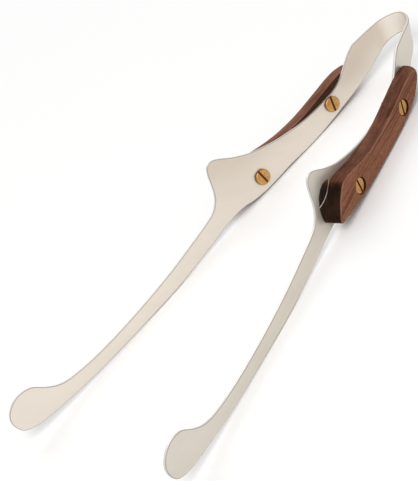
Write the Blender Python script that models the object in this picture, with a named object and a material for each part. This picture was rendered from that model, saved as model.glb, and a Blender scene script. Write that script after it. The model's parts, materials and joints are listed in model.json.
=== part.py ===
# Barbecue tongs: a sprung steel strip bent into two mirror-image arms, with a hardwood scale
# on the outside of each arm, held by slotted brass binding screws and their sleeve nuts.
#
# The strip is drawn flat first. "Along" is the distance along the strip from the middle of the
# bow, and "height" is the distance across it, parallel to the bend lines. The flat shape is then
# laid on the bent profile, so every bend line stands parallel to one direction. In this drawing
# frame X is the opening of the arms, Y runs from the tips to the bow and Z is the height. The
# whole is then tilted so that it stands on the back edges of both grips and both shafts.

import math

import bmesh
import bpy
from mathutils import Matrix, Vector

# Steel strip
ARM_REACH = 0.349  # along the strip from the middle of the bow to the tip
BOW_HEIGHT = 0.179  # from the middle of the tip up to the top of the bow
STRIP_THICKNESS = 0.002
BOW_RADIUS = 0.0158  # inside of the bow
NECK_ANGLE = math.radians(18.8)  # each arm's lean from the middle plane, stretch by stretch
GRIP_ANGLE = math.radians(12.4)
SHAFT_ANGLE = math.radians(10.1)
NECK_BEND_AT = 0.0496  # middle of the soft bend between neck and grip, along the strip
SHAFT_BEND_AT = 0.162  # middle of the soft bend between grip and shaft
SOFT_BEND = 0.014  # length of each soft bend
FLEX_LINE_AT = 0.0215  # where an arm begins to swing, just past the bow's round
FLEX_GAP = 0.0003

# Hardwood scales
SCALE_THICKNESS = 0.0113
SCALE_ROUND = 0.0012  # rounding of the outer face's rim
NOSE_SLOPE = 0.006  # the upper end curves back by this much between the steel and the outer face
SEAT_GAP = 0.0003  # between pieces that lie on each other

# Brass binding screws and sleeve nuts
HEAD_RADIUS = 0.0056
SCREW_HEAD = 0.0016  # thickness of the heads on the inside of the arms
NUT_HEAD = 0.0019  # thickness of the heads in the wood
NUT_SUNK = 0.0012  # the wood stands this far over a nut's head
SLEEVE_RADIUS = 0.0034
SHANK_RADIUS = 0.002
SHANK_END_GAP = 0.001
FIT_GAP = 0.0003  # round each fit
HEAD_CHAMFER = 0.0004
SLOT_WIDTH = 0.0016
SLOT_DEPTH = 0.0009
CUT_OVERRUN = 0.001

# Facets
RIB_STEPS = 3  # ribs for each row of the drawing, along an arm
BOW_STEPS = 6
CROSS_STEPS = 6
SCALE_STEPS = 4
NOSE_STEPS = 4
RIM_STEPS = 3
ROUND_STEPS = 32

# The flat shape of half the strip, row by row from the middle of the bow to the tip, as shares
# of the arm's reach and of the bow's height: the spur edge, then the back edge.
BOW_ROW_SHARES = [
    (0.0, 1.001, 0.0, 0.920),
    (0.023, 0.992, 0.017, 0.909),
    (0.044, 0.977, 0.036, 0.887),
]
FLEX_ROW_SHARES = (0.961, 0.838)  # heights only, because this row stands on the flex line
ARM_ROW_SHARES = [
    (0.086, 0.939, 0.076, 0.810),
    (0.111, 0.915, 0.095, 0.779),
    (0.125, 0.882, 0.110, 0.754),
    (0.147, 0.812, 0.138, 0.713),
    (0.162, 0.777, 0.155, 0.691),
    (0.184, 0.748, 0.178, 0.661),
    (0.246, 0.692, 0.238, 0.594),
    (0.310, 0.656, 0.296, 0.542),
    (0.378, 0.640, 0.352, 0.485),
    (0.420, 0.647, 0.389, 0.457),
    (0.453, 0.661, 0.413, 0.446),
    (0.468, 0.660, 0.430, 0.435),
    (0.478, 0.644, 0.441, 0.424),
    (0.480, 0.617, 0.450, 0.415),
    (0.477, 0.574, 0.458, 0.406),
    (0.475, 0.540, 0.466, 0.397),
    (0.477, 0.504, 0.475, 0.385),
    (0.486, 0.468, 0.487, 0.369),
    (0.503, 0.439, 0.506, 0.345),
    (0.527, 0.406, 0.533, 0.312),
    (0.602, 0.309, 0.604, 0.230),
    (0.693, 0.207, 0.694, 0.143),
    (0.786, 0.117, 0.790, 0.054),
    (0.854, 0.067, 0.857, 0.000),
    (0.886, 0.057, 0.888, -0.022),
    (0.914, 0.068, 0.914, -0.041),
    (0.940, 0.087, 0.940, -0.056),
    (0.960, 0.086, 0.960, -0.062),
    (0.977, 0.073, 0.977, -0.060),
    (0.990, 0.050, 0.990, -0.042),
    (0.998, 0.023, 0.998, -0.018),
    (1.0, 0.002, 1.0, 0.002),
]
SHOULDER_ROW = 1  # the pointed shoulder, in the arm's rows

# A scale's outline in the same shares, from the square lower end round the spur edge, the upper
# end and the back edge.
SCALE_OUTLINE_SHARES = [
    (0.449, 0.468),
    (0.440, 0.526),
    (0.427, 0.572),
    (0.419, 0.592),
    (0.407, 0.604),
    (0.386, 0.613),
    (0.352, 0.627),
    (0.315, 0.646),
    (0.281, 0.671),
    (0.246, 0.704),
    (0.215, 0.740),
    (0.189, 0.771),
    (0.166, 0.799),
    (0.145, 0.820),
    (0.128, 0.833),
    (0.114, 0.840),
    (0.105, 0.834),
    (0.103, 0.815),
    (0.111, 0.782),
    (0.127, 0.745),
    (0.150, 0.707),
    (0.184, 0.661),
    (0.229, 0.613),
    (0.278, 0.568),
    (0.327, 0.526),
    (0.380, 0.487),
    (0.429, 0.457),
    (0.441, 0.450),
    (0.447, 0.456),
]
SCALE_CORNER_ROWS = (0, 28)
NOSE_SHARES = (0.103, 0.155)  # along the strip, from the upper end's tip to where its slope has died out
NOSE_DOWN_SHARES = (0.83, -0.56)  # which way the upper end slopes, along and across the strip

# Fasteners of each arm: place in the same shares, and the turn of the inner and outer slots
FASTENERS = {
    "left": {"upper": ((0.181, 0.716), 101.0, 20.0), "lower": ((0.366, 0.534), 121.0, 50.0)},
    "right": {"upper": ((0.181, 0.718), 64.0, 97.0), "lower": ((0.367, 0.541), 20.0, 111.0)},
}
SIDES = {"left": -1, "right": 1}


def strip_stretches():
    """The bent profile from the middle of the bow, as (length, turn) stretches."""
    bow_turn = math.pi / 2 - NECK_ANGLE
    bow = BOW_RADIUS * bow_turn
    neck = NECK_BEND_AT - SOFT_BEND / 2 - bow
    grip = SHAFT_BEND_AT - NECK_BEND_AT - SOFT_BEND
    return [
        (bow, bow_turn),
        (neck, 0.0),
        (SOFT_BEND, NECK_ANGLE - GRIP_ANGLE),
        (grip, 0.0),
        (SOFT_BEND, GRIP_ANGLE - SHAFT_ANGLE),
        (ARM_REACH, 0.0),
    ]


def strip_pose(along):
    """(x, y, lean) of the inside of the right half of the strip at a distance from the bow's middle."""
    x, y, lean = 0.0, 0.0, math.pi / 2
    for length, turn in strip_stretches():
        step = min(along, length)
        bend = turn * step / length
        chord = step * math.sin(bend / 2) / (bend / 2) if bend else step
        x += chord * math.sin(lean - bend / 2)
        y -= chord * math.cos(lean - bend / 2)
        lean -= bend
        along -= step
        if along <= 0:
            break
    return x, y, lean


def on_strip(side, along, height):
    """The point on the strip's inner face; a distance below zero is on the other side of the bow."""
    x, y, _ = strip_pose(abs(along))
    return Vector((math.copysign(x, side * along), y, height))


def grip_matrix(side, along, height):
    """A frame on the flat grip, inside: X along the arm, Z outwards, Y down on the right and up on the left."""
    middle = (NECK_BEND_AT + SHAFT_BEND_AT) / 2
    x, y, lean = strip_pose(middle)
    down = Vector((side * math.sin(lean), -math.cos(lean), 0.0))
    out = Vector((side * math.cos(lean), math.sin(lean), 0.0))
    origin = Vector((side * x, y, height)) + down * (along - middle)
    frame = Matrix((down, out.cross(down), out)).transposed().to_4x4()
    frame.translation = origin
    return frame


def smooth_points(points, corners, steps, closed=False):
    """Points on a smooth curve through the given ones, with steps of them for each; it breaks at corners."""
    last = len(points) if closed else len(points) - 1
    out = []
    for i in range(last):
        a, b = points[i], points[(i + 1) % len(points)]
        before = a if i in corners or (i == 0 and not closed) else points[i - 1]
        after = (i + 2) % len(points) if closed else min(i + 2, len(points) - 1)
        beyond = b if (i + 1) % len(points) in corners else points[after]
        span = (b - a).length
        into = span * (b - before).normalized()
        leave = span * (beyond - a).normalized()
        for k in range(steps):
            t = k / steps
            out.append(
                a * (2 * t**3 - 3 * t**2 + 1)
                + into * (t**3 - 2 * t**2 + t)
                + b * (3 * t**2 - 2 * t**3)
                + leave * (t**3 - t**2)
            )
    return out if closed else out + [points[-1]]


def drawn(share_pair):
    return Vector((share_pair[0] * ARM_REACH, share_pair[1] * BOW_HEIGHT))


def link(name, data, parent, matrix, material):
    """A new object that stands at a matrix of the drawing frame, under its parent empty."""
    obj = bpy.data.objects.new(name, data)
    bpy.context.scene.collection.objects.link(obj)
    if parent is not None:
        obj.parent = parent
        obj.matrix_local = Matrix.Translation(-parent.location) @ matrix
    if material is not None:
        data.materials.append(material)
    return obj


def mesh_of(bm, name, sharp=math.radians(30)):
    mesh = bpy.data.meshes.new(name)
    bmesh.ops.recalc_face_normals(bm, faces=bm.faces)
    bm.to_mesh(mesh)
    bm.free()
    mesh.shade_smooth()
    mesh.set_sharp_from_angle(angle=sharp)
    return mesh


def finish_material(name, colour, metallic, roughness):
    material = bpy.data.materials.new(name)
    material.use_nodes = True
    shader = material.node_tree.nodes["Principled BSDF"]
    shader.inputs["Base Color"].default_value = (*colour, 1.0)
    shader.inputs["Metallic"].default_value = metallic
    shader.inputs["Roughness"].default_value = roughness
    return material


def cut(obj, cutter, name):
    boolean = obj.modifiers.new(name, "BOOLEAN")
    boolean.object = cutter
    boolean.operation = "DIFFERENCE"
    boolean.solver = "EXACT"


def hide_cutter(obj):
    obj.hide_render = True
    obj.display_type = "WIRE"


def strip_mesh(name, side, ribs, origin):
    """The strip between ribs, each (spur point, back point) in the flat drawing, about its origin."""
    bm = bmesh.new()
    rows = []
    for spur, back in ribs:
        row = []
        for k in range(CROSS_STEPS + 1):
            flat = back.lerp(spur, k / CROSS_STEPS)
            row.append(bm.verts.new(on_strip(side, flat.x, flat.y) - origin))
        rows.append(row)
    for row, following in zip(rows, rows[1:]):
        for k in range(CROSS_STEPS):
            bm.faces.new((row[k], row[k + 1], following[k + 1], following[k]))
    bmesh.ops.remove_doubles(bm, verts=bm.verts, dist=FLEX_GAP / CROSS_STEPS)
    bm.faces.ensure_lookup_table()
    bm.normal_update()
    outwards = Vector((side, 0.0, 0.0)) if name != "spring_bow" else Vector((0.0, 1.0, 0.0))
    middle = bm.faces[len(bm.faces) // 2]
    if middle.normal.dot(outwards) < 0:
        bmesh.ops.reverse_faces(bm, faces=bm.faces)
    mesh = bpy.data.meshes.new(name)
    bm.to_mesh(mesh)
    bm.free()
    mesh.shade_smooth()
    return mesh


def thicken(obj):
    solid = obj.modifiers.new("thickness", "SOLIDIFY")
    solid.thickness = STRIP_THICKNESS
    solid.offset = 1.0
    solid.use_even_offset = True


def edge_ribs(rows, corners, steps):
    spur = smooth_points([Vector(row[:2]) for row in rows], corners, steps)
    back = smooth_points([Vector(row[2:]) for row in rows], (), steps)
    return list(zip(spur, back))


def sized_rows(shares):
    return [(*drawn(row[:2]), *drawn(row[2:])) for row in shares]


def flex_row(along):
    return (along, FLEX_ROW_SHARES[0] * BOW_HEIGHT, along, FLEX_ROW_SHARES[1] * BOW_HEIGHT)


def bow_ribs():
    half = sized_rows(BOW_ROW_SHARES) + [flex_row(FLEX_LINE_AT)]
    other = [(-row[0], row[1], -row[2], row[3]) for row in reversed(half[1:])]
    return edge_ribs(other + half, (), BOW_STEPS)


def arm_ribs():
    rows = [flex_row(FLEX_LINE_AT + FLEX_GAP)] + sized_rows(ARM_ROW_SHARES)
    return edge_ribs(rows, (SHOULDER_ROW + 1,), RIB_STEPS)


def inset_loop(loop, distance):
    """A closed outline moved inwards by a distance, with its corners kept."""
    moved = []
    for i, point in enumerate(loop):
        before = (point - loop[i - 1]).orthogonal().normalized()
        after = (loop[(i + 1) % len(loop)] - point).orthogonal().normalized()
        moved.append(point + (before + after) * distance / (1 + before.dot(after)))
    return moved


def scale_layers():
    """(height, inset) of each layer of a scale, from its seat to the middle of its rounded rim."""
    straight = SCALE_THICKNESS - SCALE_ROUND
    layers = [(straight * k / NOSE_STEPS, 0.0) for k in range(NOSE_STEPS)]
    for k in range(RIM_STEPS + 1):
        turn = math.pi / 2 * k / RIM_STEPS
        layers.append((straight + SCALE_ROUND * math.sin(turn), SCALE_ROUND * (1 - math.cos(turn))))
    return layers


def nose_loop(loop, height):
    """A scale's outline at a height over its seat, with the upper end sloped back."""
    tip, foot = (share * ARM_REACH for share in NOSE_SHARES)
    slope = NOSE_SLOPE * (1 - math.sqrt(max(0.0, 1 - (height / SCALE_THICKNESS) ** 2)))
    moved = []
    for point in loop:
        part = min(1.0, max(0.0, (foot - point.x) / (foot - tip)))
        moved.append(point + Vector(NOSE_DOWN_SHARES) * slope * part**2 * (3 - 2 * part))
    return moved


def scale_mesh(name, side):
    """A scale in the frame of its grip, up from its seat on the steel."""
    outline = smooth_points(
        [drawn(pair) for pair in SCALE_OUTLINE_SHARES], SCALE_CORNER_ROWS, SCALE_STEPS, closed=True
    )
    bm = bmesh.new()
    rings = []
    for height, inset in scale_layers():
        loop = nose_loop(inset_loop(outline, inset), height)
        rings.append([bm.verts.new((p.x, -side * p.y, height)) for p in loop])
    for low, high in zip(rings, rings[1:]):
        for i in range(len(low)):
            j = (i + 1) % len(low)
            bm.faces.new((low[i], low[j], high[j], high[i]))
    bm.faces.new(rings[0])
    bm.faces.new(rings[-1])
    return mesh_of(bm, name)


def turned_mesh(name, profile):
    """A solid of revolution about Z from (radius, height) points that start and end on the axis."""
    bm = bmesh.new()
    line = [bm.verts.new((radius, 0.0, height)) for radius, height in profile]
    edges = [bm.edges.new(pair) for pair in zip(line, line[1:])]
    bmesh.ops.spin(
        bm,
        geom=line + edges,
        cent=(0.0, 0.0, 0.0),
        axis=(0.0, 0.0, 1.0),
        angle=2 * math.pi,
        steps=ROUND_STEPS,
        use_merge=True,
    )
    bmesh.ops.remove_doubles(bm, verts=bm.verts, dist=FIT_GAP / ROUND_STEPS)
    return mesh_of(bm, name)


def head_profile(thickness):
    """From the axis on the head's outer face to the edge of its seat."""
    return [
        (0.0, thickness),
        (HEAD_RADIUS - HEAD_CHAMFER, thickness),
        (HEAD_RADIUS, thickness - HEAD_CHAMFER),
        (HEAD_RADIUS, 0.0),
    ]


def sleeve_length():
    through = STRIP_THICKNESS + SEAT_GAP + SCALE_THICKNESS
    return through - counterbore_depth() + SEAT_GAP


def counterbore_depth():
    return NUT_HEAD + NUT_SUNK + SEAT_GAP


def screw_mesh():
    """A slotted screw: Z points out of its head, and its seat is at zero."""
    shank = sleeve_length() - SEAT_GAP - SHANK_END_GAP
    profile = head_profile(SCREW_HEAD) + [
        (SHANK_RADIUS, 0.0),
        (SHANK_RADIUS, -shank + HEAD_CHAMFER),
        (SHANK_RADIUS - HEAD_CHAMFER, -shank),
        (0.0, -shank),
    ]
    return turned_mesh("binding_screw", profile)


def nut_mesh():
    """A slotted sleeve nut: Z points out of its head, its seat is at zero and its bore runs up to it."""
    length = sleeve_length() - SEAT_GAP
    bore = SHANK_RADIUS + FIT_GAP
    profile = head_profile(NUT_HEAD) + [
        (SLEEVE_RADIUS, 0.0),
        (SLEEVE_RADIUS, -length),
        (bore, -length),
        (bore, 0.0),
        (0.0, 0.0),
    ]
    return turned_mesh("sleeve_nut", profile)


def slot_mesh(thickness):
    """A bar across a head, standing in its outer face."""
    bm = bmesh.new()
    bmesh.ops.create_cube(bm, size=1.0)
    size = Vector((2 * HEAD_RADIUS + CUT_OVERRUN, SLOT_WIDTH, SLOT_DEPTH + CUT_OVERRUN))
    bmesh.ops.scale(bm, vec=size, verts=bm.verts)
    middle = thickness - SLOT_DEPTH + size.z / 2
    bmesh.ops.translate(bm, verts=bm.verts, vec=(0.0, 0.0, middle))
    return mesh_of(bm, "slot_bar")


def bore_profile(counterbored):
    """A cutter along a fastener's axis from inside the arm to outside the scale; zero is the inner face."""
    outside = STRIP_THICKNESS + SEAT_GAP + SCALE_THICKNESS
    floor = outside - counterbore_depth()
    profile = [(0.0, outside + CUT_OVERRUN)]
    bore = SLEEVE_RADIUS + FIT_GAP
    if counterbored:
        wide = HEAD_RADIUS + FIT_GAP
        profile += [(wide, outside + CUT_OVERRUN), (wide, floor), (bore, floor)]
    else:
        profile += [(bore, outside + CUT_OVERRUN)]
    return profile + [(bore, -CUT_OVERRUN), (0.0, -CUT_OVERRUN)]


def add_fastener(name, parent, seat, turn, mesh, thickness, material):
    """A screw or nut at its seat, with the slot turned about its own axis."""
    spot = seat @ Matrix.Rotation(math.radians(turn), 4, "Z")
    obj = link(name, mesh.copy(), parent, spot, material)
    bar = link(name + "_slot_cutter", slot_mesh(thickness), parent, spot, None)
    hide_cutter(bar)
    cut(obj, bar, "slot")
    return obj


def add_arm(side_name, stand, materials, meshes):
    """One arm with its scale and fasteners, all under an empty on the flex line."""
    side = SIDES[side_name]
    middle = BOW_HEIGHT * sum(FLEX_ROW_SHARES) / 2
    pivot = on_strip(side, FLEX_LINE_AT + FLEX_GAP / 2, middle)
    hinge = link(side_name + "_flex_line", None, stand, Matrix.Translation(pivot), None)
    arm = link(
        side_name + "_arm",
        strip_mesh(side_name + "_arm", side, arm_ribs(), pivot),
        hinge,
        Matrix.Translation(pivot),
        materials["steel"],
    )
    thicken(arm)
    seat = STRIP_THICKNESS + SEAT_GAP
    lay = grip_matrix(side, 0.0, 0.0) @ Matrix.Translation((0.0, 0.0, seat))
    name = side_name + "_scale"
    scale = link(name, scale_mesh(name, side), hinge, lay, materials["wood"])
    for place, (shares, inner_turn, outer_turn) in FASTENERS[side_name].items():
        spot = drawn(shares)
        axis = grip_matrix(side, spot.x, spot.y)
        for target, counterbored in ((arm, False), (scale, True)):
            cutter = link(
                f"{target.name}_{place}_bore_cutter",
                turned_mesh("bore", bore_profile(counterbored)),
                hinge,
                axis,
                None,
            )
            hide_cutter(cutter)
            cut(target, cutter, place + "_bore")
        inside = axis @ Matrix.Translation((0.0, 0.0, -SEAT_GAP)) @ Matrix.Rotation(math.pi, 4, "X")
        floor = seat + SCALE_THICKNESS - counterbore_depth() + SEAT_GAP
        outside = axis @ Matrix.Translation((0.0, 0.0, floor))
        add_fastener(
            f"{side_name}_{place}_screw", hinge, inside, inner_turn,
            meshes["screw"], SCREW_HEAD, materials["brass"],
        )
        add_fastener(
            f"{side_name}_{place}_sleeve_nut", hinge, outside, outer_turn,
            meshes["nut"], NUT_HEAD, materials["brass"],
        )


def drawn_points():
    """Every point of the pieces' finished meshes, while the stand is still level."""
    bpy.context.view_layer.update()
    graph = bpy.context.evaluated_depsgraph_get()
    points = []
    for obj in bpy.data.objects:
        if obj.type == "MESH" and not obj.hide_render:
            shown = obj.evaluated_get(graph)
            points += [shown.matrix_world @ v.co for v in shown.data.vertices]
    return points


def standing_tilt(points):
    """The tilt at which the back edges of the grips and of the shafts touch one level floor."""
    split = strip_pose(SHAFT_BEND_AT)[1]
    grips = [p for p in points if p.y > split]
    shafts = [p for p in points if p.y <= split]
    tilt = 0.0
    for _ in range(ROUND_STEPS):
        across = Vector((0.0, -math.sin(tilt), math.cos(tilt)))
        rise = min(grips, key=across.dot) - min(shafts, key=across.dot)
        tilt = math.atan2(rise.z, rise.y)
    return tilt


def stand_on_floor(stand):
    """Tilts the whole and sets it on the floor, with the middle of its box over the origin."""
    points = drawn_points()
    lean = Matrix.Rotation(-standing_tilt(points), 4, "X")
    placed = [lean @ p for p in points]
    low = Vector(min(p[i] for p in placed) for i in range(3))
    high = Vector(max(p[i] for p in placed) for i in range(3))
    stand.matrix_local = Matrix.Translation((-(low.x + high.x) / 2, -(low.y + high.y) / 2, -low.z)) @ lean
    bpy.context.view_layer.update()


def main():
    for obj in list(bpy.data.objects):
        bpy.data.objects.remove(obj, do_unlink=True)
    materials = {
        "steel": finish_material("polished_steel", (0.72, 0.68, 0.61), 1.0, 0.22),
        "wood": finish_material("rosewood", (0.16, 0.063, 0.036), 0.0, 0.45),
        "brass": finish_material("brass", (0.66, 0.43, 0.17), 1.0, 0.3),
    }
    meshes = {"screw": screw_mesh(), "nut": nut_mesh()}
    stand = link("stand", None, None, Matrix(), None)
    bow = link(
        "spring_bow",
        strip_mesh("spring_bow", 1, bow_ribs(), Vector((0.0, 0.0, 0.0))),
        stand,
        Matrix(),
        materials["steel"],
    )
    thicken(bow)
    for side_name in SIDES:
        add_arm(side_name, stand, materials, meshes)
    stand_on_floor(stand)


main()
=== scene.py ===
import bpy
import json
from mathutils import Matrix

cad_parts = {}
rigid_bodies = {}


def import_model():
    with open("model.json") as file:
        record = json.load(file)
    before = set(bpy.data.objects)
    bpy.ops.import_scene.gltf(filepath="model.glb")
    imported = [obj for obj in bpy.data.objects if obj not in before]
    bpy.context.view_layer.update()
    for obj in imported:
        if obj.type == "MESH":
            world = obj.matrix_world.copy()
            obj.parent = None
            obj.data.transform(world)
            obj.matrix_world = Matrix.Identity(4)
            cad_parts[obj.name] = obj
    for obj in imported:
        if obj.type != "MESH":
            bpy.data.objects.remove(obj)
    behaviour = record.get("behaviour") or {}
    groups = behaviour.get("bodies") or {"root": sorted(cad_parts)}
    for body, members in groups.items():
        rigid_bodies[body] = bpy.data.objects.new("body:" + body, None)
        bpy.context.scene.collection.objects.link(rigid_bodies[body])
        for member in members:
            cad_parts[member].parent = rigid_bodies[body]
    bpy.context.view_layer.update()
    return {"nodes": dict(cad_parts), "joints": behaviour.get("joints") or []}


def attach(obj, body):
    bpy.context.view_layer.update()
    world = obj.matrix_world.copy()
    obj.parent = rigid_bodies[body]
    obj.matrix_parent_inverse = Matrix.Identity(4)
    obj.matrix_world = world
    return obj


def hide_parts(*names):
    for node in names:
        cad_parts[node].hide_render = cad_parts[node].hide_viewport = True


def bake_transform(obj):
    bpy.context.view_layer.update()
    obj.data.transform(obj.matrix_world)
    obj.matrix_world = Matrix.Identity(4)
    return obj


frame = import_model()

import json
import math

import bpy
from mathutils import Matrix, Vector

sides = {"left": -1, "right": 1}
joints = {joint["name"]: joint for joint in frame["joints"]}
flexPoints = {sideName: Vector(joints[sideName + "_flex"]["pos_m"]) for sideName in sides}

# Camera, as fitted to the photograph
camera = {
    "place": (0.9866, -0.49911, 0.72727),
    "turn": (51.115, 32.1746, 41.5095),
    "lens": 170.99,
    "width": 36.0,
    "near": 0.01,
    "far": 20.0,
}
cameraTurn = [math.radians(angle) for angle in camera["turn"]]
bpy.ops.object.camera_add(location=camera["place"], rotation=cameraTurn)
shot = bpy.context.object
shot.name = "photoCamera"
shot.data.sensor_fit = "HORIZONTAL"  # the photograph is 418 by 481
shot.data.sensor_width = camera["width"]
shot.data.lens = camera["lens"]
shot.data.clip_start = camera["near"]
shot.data.clip_end = camera["far"]
shot.data.dof.use_dof = False
bpy.context.scene.camera = shot
bpy.context.scene.view_settings.view_transform = "Standard"
print("camera")

# The bent strip: leans from the middle plane in degrees, and the stretch past each flex line that bends
strip = {
    "neckLean": 18.8,
    "gripLean": 12.4,
    "gripSlope": -25.3,
    "flexGap": 0.0003,
    "flexLength": 0.012,
    "flexRibs": 8,
}
bendAxis = Vector(joints["left_flex"]["axis"]).normalized()
acrossArms = Vector((1.0, 0.0, 0.0))
towardsBow = bendAxis.cross(acrossArms)


def downArm(side, lean):  # along an arm from the bow to the tip
    return side * math.sin(math.radians(lean)) * acrossArms - math.cos(math.radians(lean)) * towardsBow


def outOfArm(side, lean):  # from the inner to the outer face
    return side * math.cos(math.radians(lean)) * acrossArms + math.sin(math.radians(lean)) * towardsBow


# How the meshes are cleaned and rounded: distances in metres, turns in degrees
meshCare = {
    "samePoint": 0.000002,
    "pairTurn": 4,
    "pairSkew": 60,
    "sliver": 0.0003,
    "flatTurn": 0.4,
    "sameRim": 0.000001,
    "roundProfile": 0.5,
    "smoothTurn": 50,
    "normalWeight": 60,
    "facing": 0.9,
}


def pick(obj):
    if bpy.context.mode != "OBJECT":
        bpy.ops.object.mode_set(mode="OBJECT")
    bpy.ops.object.select_all(action="DESELECT")
    obj.select_set(True)
    bpy.context.view_layer.objects.active = obj


def copyOfNode(node, name):  # a free copy with its points merged and its triangles paired
    pick(frame["nodes"][node])
    bpy.ops.object.duplicate()
    obj = bpy.context.object
    obj.name = name
    obj.data.name = name
    for key in [key for key in obj.keys() if key.startswith("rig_")]:
        del obj[key]
    bpy.ops.object.parent_clear(type="CLEAR_KEEP_TRANSFORM")
    bpy.ops.object.mode_set(mode="EDIT")
    bpy.ops.mesh.select_all(action="SELECT")
    bpy.ops.mesh.remove_doubles(threshold=meshCare["samePoint"])
    bpy.ops.mesh.customdata_custom_splitnormals_clear()
    bpy.ops.mesh.tris_convert_to_quads(
        face_threshold=math.radians(meshCare["pairTurn"]), shape_threshold=math.radians(meshCare["pairSkew"])
    )
    bpy.ops.mesh.normals_make_consistent(inside=False)
    bpy.ops.object.mode_set(mode="OBJECT")
    return obj


def middleOf(obj):
    points = [vertex.co for vertex in obj.data.vertices]
    return sum(points, Vector()) / len(points)


def mergeFlats(obj):  # each flat stretch becomes one face, so that its rim can be rounded
    pick(obj)
    bpy.ops.object.mode_set(mode="EDIT")
    bpy.ops.mesh.select_all(action="SELECT")
    bpy.ops.mesh.remove_doubles(threshold=meshCare["sliver"])
    bpy.ops.mesh.dissolve_limited(angle_limit=math.radians(meshCare["flatTurn"]))
    bpy.ops.object.mode_set(mode="OBJECT")


def leaveBores(obj, edge, sideName):  # takes the edges round the fasteners out of the selection
    bpy.ops.object.mode_set(mode="OBJECT")
    out = outOfArm(sides[sideName], strip["gripLean"])
    bores = [middleOf(frame["nodes"][f"{sideName}_{place}_screw"]) for place in ("upper", "lower")]
    for line in obj.data.edges:
        middle = sum((obj.data.vertices[end].co for end in line.vertices), Vector()) / 2
        offsets = [(middle - bore) - out * (middle - bore).dot(out) for bore in bores]
        line.select = line.select and min(offset.length for offset in offsets) > edge["boreRadius"]
    bpy.ops.object.mode_set(mode="EDIT")


def softenEdges(obj, edge, sideName=None):  # rounds sharp edges other than the bores' and marks the rounded rims, which the steel and wood materials paint as wear and painted light
    pick(obj)
    bpy.ops.object.mode_set(mode="EDIT")
    bpy.ops.mesh.select_mode(type="EDGE")
    bpy.ops.mesh.select_all(action="DESELECT")
    bpy.ops.mesh.edges_select_sharp(sharpness=math.radians(edge["sharperThan"]))
    if sideName:
        leaveBores(obj, edge, sideName)
    bpy.ops.mesh.bevel(
        offset=edge["width"],
        offset_type="OFFSET",
        segments=edge["steps"],
        profile=meshCare["roundProfile"],
        clamp_overlap=not sideName,
    )
    bpy.ops.object.mode_set(mode="OBJECT")
    markFaces(obj, "wearandlight", lambda face: face.select)
    bpy.ops.object.mode_set(mode="EDIT")
    bpy.ops.mesh.select_all(action="SELECT")
    bpy.ops.mesh.remove_doubles(threshold=meshCare["sameRim"])
    bpy.ops.object.mode_set(mode="OBJECT")
    bpy.ops.object.shade_smooth_by_angle(angle=math.radians(meshCare["smoothTurn"]))
    weighted = obj.modifiers.new("weightedNormals", "WEIGHTED_NORMAL")
    weighted.keep_sharp = True
    weighted.weight = meshCare["normalWeight"]
    bpy.ops.object.modifier_apply(modifier=weighted.name)


def addRibs(obj, point, direction, spacing, count):  # cuts across a stretch that has to bend
    pick(obj)
    bpy.ops.object.mode_set(mode="EDIT")
    for rib in range(1, count + 1):
        bpy.ops.mesh.select_all(action="SELECT")
        bpy.ops.mesh.bisect(plane_co=point + rib * spacing * direction, plane_no=direction)
    bpy.ops.object.mode_set(mode="OBJECT")


def openEnd(obj, point, direction, move):  # takes away the end face at a flex line and moves the open rim
    pick(obj)
    bpy.ops.object.mode_set(mode="EDIT")
    bpy.ops.mesh.select_mode(type="FACE")
    bpy.ops.mesh.select_all(action="DESELECT")
    bpy.ops.object.mode_set(mode="OBJECT")
    for polygon in obj.data.polygons:
        away = (polygon.center - point).dot(direction)
        facing = abs(polygon.normal.dot(direction))
        polygon.select = abs(away) < 2 * strip["flexGap"] and facing > meshCare["facing"]
    bpy.ops.object.mode_set(mode="EDIT")
    bpy.ops.mesh.delete(type="FACE")
    if move:
        bpy.ops.mesh.select_mode(type="VERT")
        bpy.ops.mesh.select_all(action="DESELECT")
        bpy.ops.mesh.select_non_manifold()
        bpy.ops.transform.translate(value=move * direction)
    bpy.ops.object.mode_set(mode="OBJECT")


def markFaces(obj, name, test):  # a mask for the material, face by face
    mask = obj.data.attributes.new(name, "FLOAT", "FACE")
    for polygon in obj.data.polygons:
        mask.data[polygon.index].value = float(test(polygon))


# The steel strip: the bow and both arms meet at the flex lines without an end face
steelEdge = {"width": 0.00045, "steps": 3, "sharperThan": 60, "edgeTurn": 0.7, "boreRadius": 0.0066}
steelBow = copyOfNode("spring_bow", "steelBow")
for sideName, side in sides.items():
    openEnd(steelBow, flexPoints[sideName], downArm(side, strip["neckLean"]), 0.0)
softenEdges(steelBow, steelEdge)
bowMiddle = (flexPoints["left"] + flexPoints["right"]) / 2
markFaces(steelBow, "ground", lambda face: abs(face.normal.dot(bendAxis)) > steelEdge["edgeTurn"])
markFaces(steelBow, "outside", lambda face: (face.center - bowMiddle).dot(face.normal) > 0.0)
steelArms = {}
for sideName, side in sides.items():
    down = downArm(side, strip["neckLean"])
    out = outOfArm(side, strip["gripLean"])
    arm = copyOfNode(sideName + "_arm", sideName + "SteelArm")
    mergeFlats(arm)
    addRibs(arm, flexPoints[sideName], down, strip["flexLength"] / strip["flexRibs"], strip["flexRibs"])
    openEnd(arm, flexPoints[sideName], down, -strip["flexGap"])
    softenEdges(arm, steelEdge, sideName)
    markFaces(arm, "ground", lambda face: abs(face.normal.dot(out)) < steelEdge["edgeTurn"])
    markFaces(arm, "outside", lambda face: face.normal.dot(out) > 0.0)
    steelArms[sideName] = arm
print("steel strip")

# The wooden scales
woodEdge = {
    "width": 0.0004,
    "steps": 2,
    "sharperThan": 40,
    "boreRadius": 0.0066,
    "seat": 0.00027,
    "backTurn": 0.999,
    "rimTurn": (0.3, 0.97),
    "slopeTurn": -0.3,
}


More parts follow.
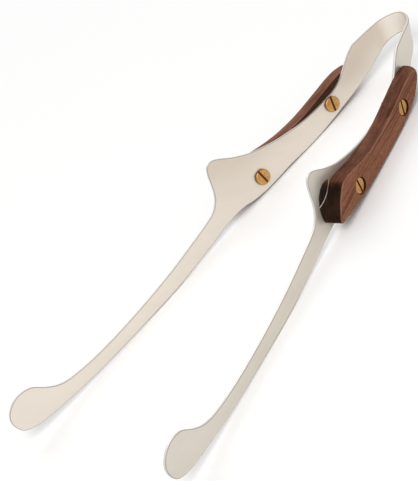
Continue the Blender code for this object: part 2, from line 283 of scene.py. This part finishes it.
def seatScale(obj, inwards):  # brings the flat back of a scale down onto the steel
    pick(obj)
    for polygon in obj.data.polygons:
        polygon.select = polygon.normal.dot(inwards) > woodEdge["backTurn"]
    bpy.ops.object.mode_set(mode="EDIT")
    bpy.ops.mesh.select_mode(type="FACE")
    bpy.ops.transform.translate(value=woodEdge["seat"] * inwards)
    bpy.ops.object.mode_set(mode="OBJECT")


def markWornLitRim(obj, out, down):  # the rounded rim of the outer face, but not the slope at the upper end, painted lighter as wear and a painted highlight
    wearandlight = obj.data.attributes["wearandlight"]
    low, high = woodEdge["rimTurn"]
    for polygon in obj.data.polygons:
        if low < polygon.normal.dot(out) < high and polygon.normal.dot(down) > woodEdge["slopeTurn"]:
            wearandlight.data[polygon.index].value = 1.0


woodScales = {}
for sideName, side in sides.items():
    down, out = downArm(side, strip["gripLean"]), outOfArm(side, strip["gripLean"])
    scale = copyOfNode(sideName + "_scale", sideName + "WoodScale")
    seatScale(scale, -out)
    mergeFlats(scale)
    softenEdges(scale, woodEdge, sideName)
    markWornLitRim(scale, out, down)
    woodScales[sideName] = scale
print("wooden scales")

# The brass screws inside the arms and the sleeve nuts in the wood
brassEdge = {"width": 0.00015, "steps": 2, "sharperThan": 40}
kindNames = {"screw": "Screw", "sleeve_nut": "SleeveNut"}
brassPieces = {}
for sideName in sides:
    for place in ("upper", "lower"):
        for kind, kindName in kindNames.items():
            node = f"{sideName}_{place}_{kind}"
            brassPieces[node] = copyOfNode(node, sideName + place.capitalize() + kindName)
            softenEdges(brassPieces[node], brassEdge)
print("brass pieces")


def newMaterial(name):
    material = bpy.data.materials.new(name)
    material.use_nodes = True
    return material, material.node_tree, material.node_tree.nodes["Principled BSDF"]


def join(tree, node, inputs):  # sets a node's inputs, or links them where a socket is given
    for key, value in inputs.items():
        if isinstance(value, bpy.types.NodeSocket):
            tree.links.new(value, node.inputs[key])
        else:
            node.inputs[key].default_value = value


def add(tree, kind, inputs=None, **settings):
    node = tree.nodes.new(kind)
    for key, value in settings.items():
        setattr(node, key, value)
    join(tree, node, inputs or {})
    return node


def newGroup(name, inputs, outputs):  # inputs and outputs are {socket name: its kind}
    group = bpy.data.node_groups.new(name, "ShaderNodeTree")
    for socketName, kind in inputs.items():
        group.interface.new_socket(name=socketName, in_out="INPUT", socket_type="NodeSocket" + kind)
    for socketName, kind in outputs.items():
        group.interface.new_socket(name=socketName, in_out="OUTPUT", socket_type="NodeSocket" + kind)
    return group, add(group, "NodeGroupInput").outputs, add(group, "NodeGroupOutput").inputs


def useGroup(tree, group, inputs):
    node = tree.nodes.new("ShaderNodeGroup")
    node.node_tree = group
    join(tree, node, inputs)
    return node.outputs


def vectorMath(tree, how, first, second):
    return add(tree, "ShaderNodeVectorMath", {0: first, 1: second}, operation=how).outputs


def lengthOf(tree, vector):
    return add(tree, "ShaderNodeVectorMath", {0: vector}, operation="LENGTH").outputs["Value"]


def layer(tree, vector, look):  # noise, stretched along a piece's own axes
    stretched = vectorMath(tree, "MULTIPLY", vector, look["stretch"])[0]
    values = {"Vector": stretched, "Scale": 1.0, "Detail": look["detail"], "Roughness": look["roughness"]}
    values["Distortion"] = look.get("distortion", 0.0)
    return add(tree, "ShaderNodeTexNoise", values).outputs["Fac"]


def mapped(tree, value, fromLow, fromHigh, toLow, toHigh):
    values = {"Value": value, "From Min": fromLow, "From Max": fromHigh, "To Min": toLow, "To Max": toHigh}
    return add(tree, "ShaderNodeMapRange", values).outputs["Result"]


def risen(tree, value, limits, top=1.0):  # 0 at the first limit, top at the second
    return mapped(tree, value, *limits, 0.0, top)


def between(tree, share, first, second):
    return mapped(tree, share, 0.0, 1.0, first, second)


def blended(tree, amount, first, second, how="MIX"):
    node = add(tree, "ShaderNodeMix", {0: amount, 6: first, 7: second}, data_type="RGBA", blend_type=how)
    return node.outputs[2]


def clamped(tree, how, first, second):
    return add(tree, "ShaderNodeMath", {0: first, 1: second}, operation=how, use_clamp=True).outputs[0]


def unclamped(tree, how, first, second=0.0):
    return add(tree, "ShaderNodeMath", {0: first, 1: second}, operation=how).outputs[0]


def pieceCoordinates(tree, place, axes):  # object coordinates from a place, turned to a piece's own axes
    turn = Matrix(axes).transposed().to_euler()
    values = {"Location": place, "Rotation": turn, "Scale": (1.0, 1.0, 1.0)}
    values["Vector"] = add(tree, "ShaderNodeTexCoord").outputs["Object"]
    return add(tree, "ShaderNodeMapping", values, vector_type="TEXTURE").outputs["Vector"]


def opaque(colour):
    return (*colour, 1.0)


def marked(tree, attribute):
    return add(tree, "ShaderNodeAttribute", attribute_name=attribute).outputs["Fac"]


def finishSurface(tree, shader, surface, look):
    tree.links.new(surface["Color"], shader.inputs["Base Color"])
    tree.links.new(surface["Roughness"], shader.inputs["Roughness"])
    values = {"Height": surface["Height"], "Strength": look["bumpStrength"], "Distance": look["bumpDistance"]}
    tree.links.new(add(tree, "ShaderNodeBump", values).outputs["Normal"], shader.inputs["Normal"])


# A mask for the faces that look one way, by which the wood's faces are painted darker as painted shade
facingMask, given, result = newGroup(
    "facingMask",
    {"Normal": "Vector", "Direction": "Vector", "Start": "Float", "End": "Float"},
    {"Mask": "Float"},
)
towards = vectorMath(facingMask, "DOT_PRODUCT", given["Normal"], given["Direction"])["Value"]
facingMask.links.new(risen(facingMask, towards, (given["Start"], given["End"])), result["Mask"])

# How far a point lies from a place on the outer face, where a share of 0 leaves an axis out
faceSpread, given, result = newGroup(
    "faceSpread", {"Vector": "Vector", "Place": "Vector", "Shares": "Vector"}, {"Spread": "Float"}
)
offset = vectorMath(faceSpread, "SUBTRACT", given["Vector"], given["Place"])[0]
weighed = vectorMath(faceSpread, "MULTIPLY", offset, given["Shares"])[0]
faceSpread.links.new(lengthOf(faceSpread, weighed), result["Spread"])

# Polished steel: faint smears, fine brushing along the strip, ground edges, and a film that dulls most of it
steelLook = {
    "smears": {"stretch": (18.0, 60.0, 60.0), "detail": 5.0, "roughness": 0.6},
    "smearRange": (0.35, 0.7),
    "smearShare": 0.08,
    "brushing": {"stretch": (110.0, 7000.0, 7000.0), "detail": 2.0, "roughness": 0.6},
    "insideRoughness": (0.32, 0.4),
    "outsideRoughness": (0.35, 0.43),
    "mirrorRoughness": 0.18,
    "scratchRoughness": 0.6,
    "groundRoughness": 0.42,
    "rimRoughness": 0.65,
    "filmMetallic": 0.75,
    "rimMetallic": 0.1,
    "bumpStrength": 0.2,
    "bumpDistance": 0.00002,
}
steelColours = {
    "Inner": opaque((0.82, 0.75, 0.66)),
    # The outer faces' colour is painted darker than the inner faces', as painted shade
    "ShadedOuter": opaque((0.70, 0.65, 0.575)),
    "Cut": opaque((0.70, 0.66, 0.61)),
    # Rim is painted dark along the rounded edges: a dull ground edge and a painted dark edge line
    "Rim": opaque((0.40, 0.37, 0.34)),
}
steelMarks = ("Outside", "Ground", "Wearandlight", "Mirror", "Scratch")
steelPolish, given, result = newGroup(
    "steelPolish",
    {
        "Vector": "Vector",
        **{name: "Color" for name in steelColours},
        **{name: "Float" for name in steelMarks},
    },
    {"Color": "Color", "Metallic": "Float", "Roughness": "Float", "Height": "Float"},
)
smear = risen(steelPolish, layer(steelPolish, given["Vector"], steelLook["smears"]), steelLook["smearRange"])
smeared = clamped(steelPolish, "MULTIPLY", smear, steelLook["smearShare"])
# The outer faces are painted darker than the inner ones, as painted shade
paintedFaceShade = blended(steelPolish, given["Outside"], given["Inner"], given["ShadedOuter"])
smearTone = blended(steelPolish, smeared, paintedFaceShade, given["Rim"])
edgeTone = blended(steelPolish, given["Ground"], smearTone, given["Cut"])
# The rounded rims are painted dark: a dull ground edge and a painted dark edge line
steelPolish.links.new(blended(steelPolish, given["Wearandlight"], edgeTone, given["Rim"]), result["Color"])
inside = between(steelPolish, smear, *steelLook["insideRoughness"])
outside = between(steelPolish, smear, *steelLook["outsideRoughness"])
faces = between(steelPolish, given["Outside"], inside, outside)
bright = between(steelPolish, given["Mirror"], faces, steelLook["mirrorRoughness"])
scratched = between(steelPolish, given["Scratch"], bright, steelLook["scratchRoughness"])
edged = between(steelPolish, given["Ground"], scratched, steelLook["groundRoughness"])
rimmed = between(steelPolish, given["Wearandlight"], edged, steelLook["rimRoughness"])
steelPolish.links.new(rimmed, result["Roughness"])
filmed = between(steelPolish, given["Mirror"], steelLook["filmMetallic"], 1.0)
metal = between(steelPolish, given["Wearandlight"], filmed, steelLook["rimMetallic"])
steelPolish.links.new(between(steelPolish, given["Scratch"], metal, 0.0), result["Metallic"])
steelPolish.links.new(layer(steelPolish, given["Vector"], steelLook["brushing"]), result["Height"])

# Where the steel is polished bright round a scale's lower end, and a curved scratch in it. Places are
# measured along the arm and up to the spur.
brightPatch = {"place": (-0.006, 0.0285), "halfWidths": (0.0127, 0.0165), "edge": (1.0, 0.92)}
scratch = {"place": (0.0120, 0.0525), "radius": 0.0233, "width": 0.0005, "shown": {"left": 0.0, "right": 1.0}}


def brightMarks(tree, vector, spurwards, sideName, outside):
    patchPlace = (brightPatch["place"][0], brightPatch["place"][1] * spurwards, 0.0)
    shares = (1 / brightPatch["halfWidths"][0], 1 / brightPatch["halfWidths"][1], 0.0)
    patch = useGroup(tree, faceSpread, {"Vector": vector, "Place": patchPlace, "Shares": shares})["Spread"]
    mirror = clamped(tree, "MULTIPLY", risen(tree, patch, brightPatch["edge"]), outside)
    scratchPlace = (scratch["place"][0], scratch["place"][1] * spurwards, 0.0)
    values = {"Vector": vector, "Place": scratchPlace, "Shares": (1.0, 1.0, 0.0)}
    beside = unclamped(tree, "SUBTRACT", useGroup(tree, faceSpread, values)["Spread"], scratch["radius"])
    away = unclamped(tree, "ABSOLUTE", beside)
    line = risen(tree, away, (scratch["width"], scratch["width"] / 2), scratch["shown"][sideName])
    return {"Mirror": mirror, "Scratch": clamped(tree, "MULTIPLY", line, mirror)}


def steelMaterial(name, axes, sideName=None):
    material, tree, shader = newMaterial(name)
    vector = pieceCoordinates(tree, (0.0, 0.0, 0.0), axes)
    marks = {name.capitalize(): marked(tree, name) for name in ("ground", "wearandlight", "outside")}
    if sideName:
        marks.update(brightMarks(tree, vector, axes[1].dot(bendAxis), sideName, marks["Outside"]))
    surface = useGroup(tree, steelPolish, {"Vector": vector, **marks, **steelColours})
    tree.links.new(surface["Metallic"], shader.inputs["Metallic"])
    finishSurface(tree, shader, surface, steelLook)
    return material


# Rosewood: broad and fine streaks along the grain, short open pores, blotches, and rims painted lighter as
# wear and a painted highlight
roseLook = {
    "broad": {"stretch": (11.0, 150.0, 150.0), "detail": 4.0, "roughness": 0.55, "distortion": 0.5},
    "broadRange": (0.38, 0.54),
    "fine": {"stretch": (28.0, 900.0, 900.0), "detail": 4.0, "roughness": 0.6, "distortion": 0.2},
    "fineRange": (0.45, 0.72),
    "fineShare": 0.75,
    "pores": {"stretch": (330.0, 1500.0, 1500.0), "detail": 3.0, "roughness": 0.6},
    "poreRange": (0.5, 0.66),
    "poreShare": 0.8,
    "poreDepthRange": (0.55, 0.7),
    "blotches": {"stretch": (45.0, 160.0, 160.0), "detail": 3.0, "roughness": 0.6},
    "blotchRange": (0.42, 0.58),
    "wearAndHighlightShares": (0.75, 0.4),
    "sheenRange": (0.3, 0.7),
    "sheenRoughness": (0.5, 0.38),
    "specular": 0.04,
    "bumpStrength": 0.25,
    "bumpDistance": 0.0001,
}
roseColours = {
    "Dark": opaque((0.135, 0.046, 0.025)),
    "Middle": opaque((0.27, 0.111, 0.062)),
    "Light": opaque((0.375, 0.172, 0.102)),
}
roseGrain, given, result = newGroup(
    "roseGrain",
    {"Vector": "Vector", **{name: "Color" for name in roseColours}, "Wearandlight": "Float"},
    {"Color": "Color", "Roughness": "Float", "Height": "Float", "Blotch": "Float"},
)
broad = layer(roseGrain, given["Vector"], roseLook["broad"])
fine = layer(roseGrain, given["Vector"], roseLook["fine"])
pores = layer(roseGrain, given["Vector"], roseLook["pores"])
bandMask = risen(roseGrain, broad, roseLook["broadRange"])
bands = blended(roseGrain, bandMask, given["Dark"], given["Middle"])
lineMask = risen(roseGrain, fine, roseLook["fineRange"], roseLook["fineShare"])
lines = blended(roseGrain, lineMask, bands, given["Light"])
poreMask = risen(roseGrain, pores, roseLook["poreRange"], roseLook["poreShare"])
pored = blended(roseGrain, poreMask, lines, given["Dark"])
blotch = risen(roseGrain, layer(roseGrain, given["Vector"], roseLook["blotches"]), roseLook["blotchRange"])
# The rounded rims are painted lighter: partly wear, partly a painted highlight
wearAndHighlightMask = clamped(roseGrain, "MULTIPLY", given["Wearandlight"], between(roseGrain, blotch, *roseLook["wearAndHighlightShares"]))
roseGrain.links.new(blended(roseGrain, wearAndHighlightMask, pored, given["Light"]), result["Color"])
sheen = mapped(roseGrain, fine, *roseLook["sheenRange"], *roseLook["sheenRoughness"])
roseGrain.links.new(sheen, result["Roughness"])
roseGrain.links.new(mapped(roseGrain, pores, *roseLook["poreDepthRange"], 1.0, 0.0), result["Height"])
roseGrain.links.new(blotch, result["Blotch"])

# The wood's faces painted darker as painted shade, at the ends partly darker end grain: how squarely a face
# has to look that way, its painted shade colour, and each scale's share of it
roseFaceShade = {
    "spurSide": {"turn": (0.35, 0.6), "shade": (0.42, 0.36, 0.36), "shares": {"left": 0.35, "right": 0.9}},
    "lowerEnd": {"turn": (0.5, 0.85), "shade": (0.08, 0.10, 0.11), "shares": {"left": 0.85, "right": 0.98}},
    "upperEnd": {"turn": (0.25, 0.65), "shade": (0.08, 0.10, 0.11), "shares": {"left": 0.5, "right": 0.75}},
    "inside": {"turn": (0.6, 0.9), "shade": (0.08, 0.10, 0.11), "shares": {"left": 0.85, "right": 0.85}},
}
# How much the spur side's painted shade varies with the blotches
spurShadeBlotches = {"light": 0.68, "dark": 1.1}


def woodMaterial(name, sideName, place, axes):
    material, tree, shader = newMaterial(name)
    shader.inputs["Specular IOR Level"].default_value = roseLook["specular"]
    grain, out = axes[0], axes[2]
    towardsTips = downArm(sides[sideName], strip["gripLean"])
    directions = {"spurSide": bendAxis, "lowerEnd": towardsTips, "upperEnd": -grain, "inside": -out}
    vector = pieceCoordinates(tree, place, axes)
    surface = useGroup(tree, roseGrain, {"Vector": vector, "Wearandlight": marked(tree, "wearandlight"), **roseColours})
    normal = add(tree, "ShaderNodeTexCoord").outputs["Normal"]
    colour = surface["Color"]
    # Each face that looks one way is painted darker, as painted shade
    for faceName, look in roseFaceShade.items():
        start, end = look["turn"]
        values = {"Normal": normal, "Direction": directions[faceName], "Start": start, "End": end}
        share = look["shares"][sideName]
        if faceName == "spurSide":
            light, dark = spurShadeBlotches["light"] * share, spurShadeBlotches["dark"] * share
            share = between(tree, surface["Blotch"], light, dark)
        amount = clamped(tree, "MULTIPLY", useGroup(tree, facingMask, values)["Mask"], share)
        colour = blended(tree, amount, colour, opaque(look["shade"]), "MULTIPLY")
    finishSurface(tree, shader, surface, roseLook)
    tree.links.new(colour, shader.inputs["Base Color"])
    return material


# Brass: turning rings on the heads, a brown patina, darker deeper in the slots, and painted shade round the
# rims and down the sides
brassLook = {
    "rings": {"stretch": (5200.0, 1.0, 1.0), "detail": 2.0, "roughness": 0.5},
    "cloud": {"stretch": (420.0, 420.0, 420.0), "detail": 4.0, "roughness": 0.6},
    "cloudRange": (0.4, 0.66),
    "slotDepths": (-0.00018, -0.00045),
    "rimRange": (0.9, 1.0),
    "rimShare": 0.55,
    "cleanRoughness": 0.3,
    "darkenedRoughness": 0.6,
    "bumpStrength": 0.2,
    "bumpDistance": 0.0001,
}
brassColours = {
    "Bright": opaque((0.62, 0.355, 0.13)),
    "Patina": opaque((0.48, 0.245, 0.08)),
    # Darker deeper in the slots, and painted shade round the rims and down the sides of the heads
    "SlotDarkAndRimShade": opaque((0.19, 0.068, 0.02)),
}
headBrass, given, result = newGroup(
    "headBrass",
    {"Vector": "Vector", **{name: "Color" for name in brassColours}, "Radius": "Float"},
    {"Color": "Color", "Roughness": "Float", "Height": "Float"},
)
local = add(headBrass, "ShaderNodeSeparateXYZ", {0: given["Vector"]}).outputs
inPlane = add(headBrass, "ShaderNodeCombineXYZ", {"X": local["X"], "Y": local["Y"]}).outputs[0]
radius = lengthOf(headBrass, inPlane)
ringPlace = add(headBrass, "ShaderNodeCombineXYZ", {"X": radius}).outputs[0]
cloud = risen(headBrass, layer(headBrass, given["Vector"], brassLook["cloud"]), brassLook["cloudRange"])
tone = blended(headBrass, cloud, given["Bright"], given["Patina"])
# Darker deeper in the slot
slotDarkening = risen(headBrass, local["Z"], brassLook["slotDepths"])
radiusShare = unclamped(headBrass, "DIVIDE", radius, given["Radius"])
# Painted shade round the rim and down the side of each head
rimShade = risen(headBrass, radiusShare, brassLook["rimRange"], brassLook["rimShare"])
slotDarkAndRimShade = unclamped(headBrass, "MAXIMUM", slotDarkening, rimShade)
roughWhereDark = between(headBrass, slotDarkAndRimShade, brassLook["cleanRoughness"], brassLook["darkenedRoughness"])
headBrass.links.new(blended(headBrass, slotDarkAndRimShade, tone, given["SlotDarkAndRimShade"]), result["Color"])
headBrass.links.new(roughWhereDark, result["Roughness"])
headBrass.links.new(layer(headBrass, ringPlace, brassLook["rings"]), result["Height"])


def brassMaterial(name, place, axes, radius):
    material, tree, shader = newMaterial(name)
    shader.inputs["Metallic"].default_value = 1.0
    vector = pieceCoordinates(tree, place, axes)
    surface = useGroup(tree, headBrass, {"Vector": vector, "Radius": radius, **brassColours})
    finishSurface(tree, shader, surface, brassLook)
    return material


def dress(obj, material):
    obj.data.materials.clear()
    obj.data.materials.append(material)


dress(steelBow, steelMaterial("polishedSteelBow", (acrossArms, towardsBow, bendAxis)))
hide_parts("spring_bow")
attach(steelBow, "bow")
for sideName, side in sides.items():
    down, out = downArm(side, strip["gripLean"]), outOfArm(side, strip["gripLean"])
    steel = steelMaterial("polishedSteel" + sideName.title(), (down, out.cross(down), out), sideName)
    dress(steelArms[sideName], steel)
    scale = woodScales[sideName]
    slope = math.radians(strip["gripSlope"])
    grain = math.cos(slope) * down + math.sin(slope) * bendAxis
    grainAxes = (grain, out.cross(grain), out)
    wood = woodMaterial("rosewood" + sideName.title(), sideName, middleOf(scale), grainAxes)
    dress(scale, wood)
    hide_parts(sideName + "_scale")
    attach(scale, sideName + "_arm")
for node, piece in brassPieces.items():
    sideName = node.split("_")[0]
    side = sides[sideName]
    out = outOfArm(side, strip["gripLean"]) * (-1 if node.endswith("screw") else 1)
    down = downArm(side, strip["gripLean"])
    centre = middleOf(piece)
    offsets = [vertex.co - centre for vertex in piece.data.vertices]
    headFace = centre + out * max(offset.dot(out) for offset in offsets)
    headRadius = max((offset - out * offset.dot(out)).length for offset in offsets)
    brass = brassMaterial(piece.name + "Brass", headFace, (down, out.cross(down), out), headRadius)
    dress(piece, brass)
    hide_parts(node)
    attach(piece, sideName + "_arm")
print("materials")

# The CAD arms are hidden and each steel arm's placing is baked into its mesh
for sideName, side in sides.items():
    down = downArm(side, strip["neckLean"])
    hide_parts(sideName + "_arm")
    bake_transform(steelArms[sideName])


def seenDirectly(tree):  # 1 for the rays that show the background: to the camera, in metal and through glass
    rays = add(tree, "ShaderNodeLightPath").outputs
    mirrored = clamped(tree, "MAXIMUM", rays["Is Glossy Ray"], rays["Is Transmission Ray"])
    return clamped(tree, "MAXIMUM", rays["Is Camera Ray"], mirrored)


# Floor, light and background
floorLook = {"size": 12.0, "height": -0.0004, "colour": (0.80, 0.80, 0.80), "shown": (1.0, 1.0, 1.0)}
bpy.ops.mesh.primitive_plane_add(size=floorLook["size"], location=(0.0, 0.0, floorLook["height"]))
floor = bpy.context.object
floor.name = "floor"
floorMaterial, tree, shader = newMaterial("paleFloor")
floorTone = blended(tree, seenDirectly(tree), opaque(floorLook["colour"]), opaque(floorLook["shown"]))
tree.links.new(floorTone, shader.inputs["Base Color"])
shader.inputs["Roughness"].default_value = 1.0
shader.inputs["Specular IOR Level"].default_value = 0.0
floor.data.materials.append(floorMaterial)

lamps = {
    "keyLight": {"place": (1.1, -0.9, 1.9), "size": 1.5, "power": 23.0, "colour": (1.0, 0.99, 0.97)},
    "fillLight": {"place": (-1.5, 0.5, 1.7), "size": 1.7, "power": 9.0, "colour": (0.98, 0.99, 1.0)},
}
for name, lamp in lamps.items():
    bpy.ops.object.light_add(type="AREA", location=lamp["place"])
    light = bpy.context.object
    light.name = name
    light.data.shape = "DISK"
    light.data.size = lamp["size"]
    light.data.energy = lamp["power"]
    light.data.color = lamp["colour"]
    light.rotation_euler = (-Vector(lamp["place"])).to_track_quat("-Z", "Y").to_euler()

surround = {"colour": (1.0, 1.0, 1.0), "strength": 0.62, "shown": 1.0}
world = bpy.context.scene.world or bpy.data.worlds.new("studio")
bpy.context.scene.world = world
world.use_nodes = True
sky = world.node_tree
sky.nodes.clear()
strength = between(sky, seenDirectly(sky), surround["strength"], surround["shown"])
background = add(sky, "ShaderNodeBackground", {"Color": opaque(surround["colour"]), "Strength": strength})
add(sky, "ShaderNodeOutputWorld", {"Surface": background.outputs["Background"]})
print("floor and light")
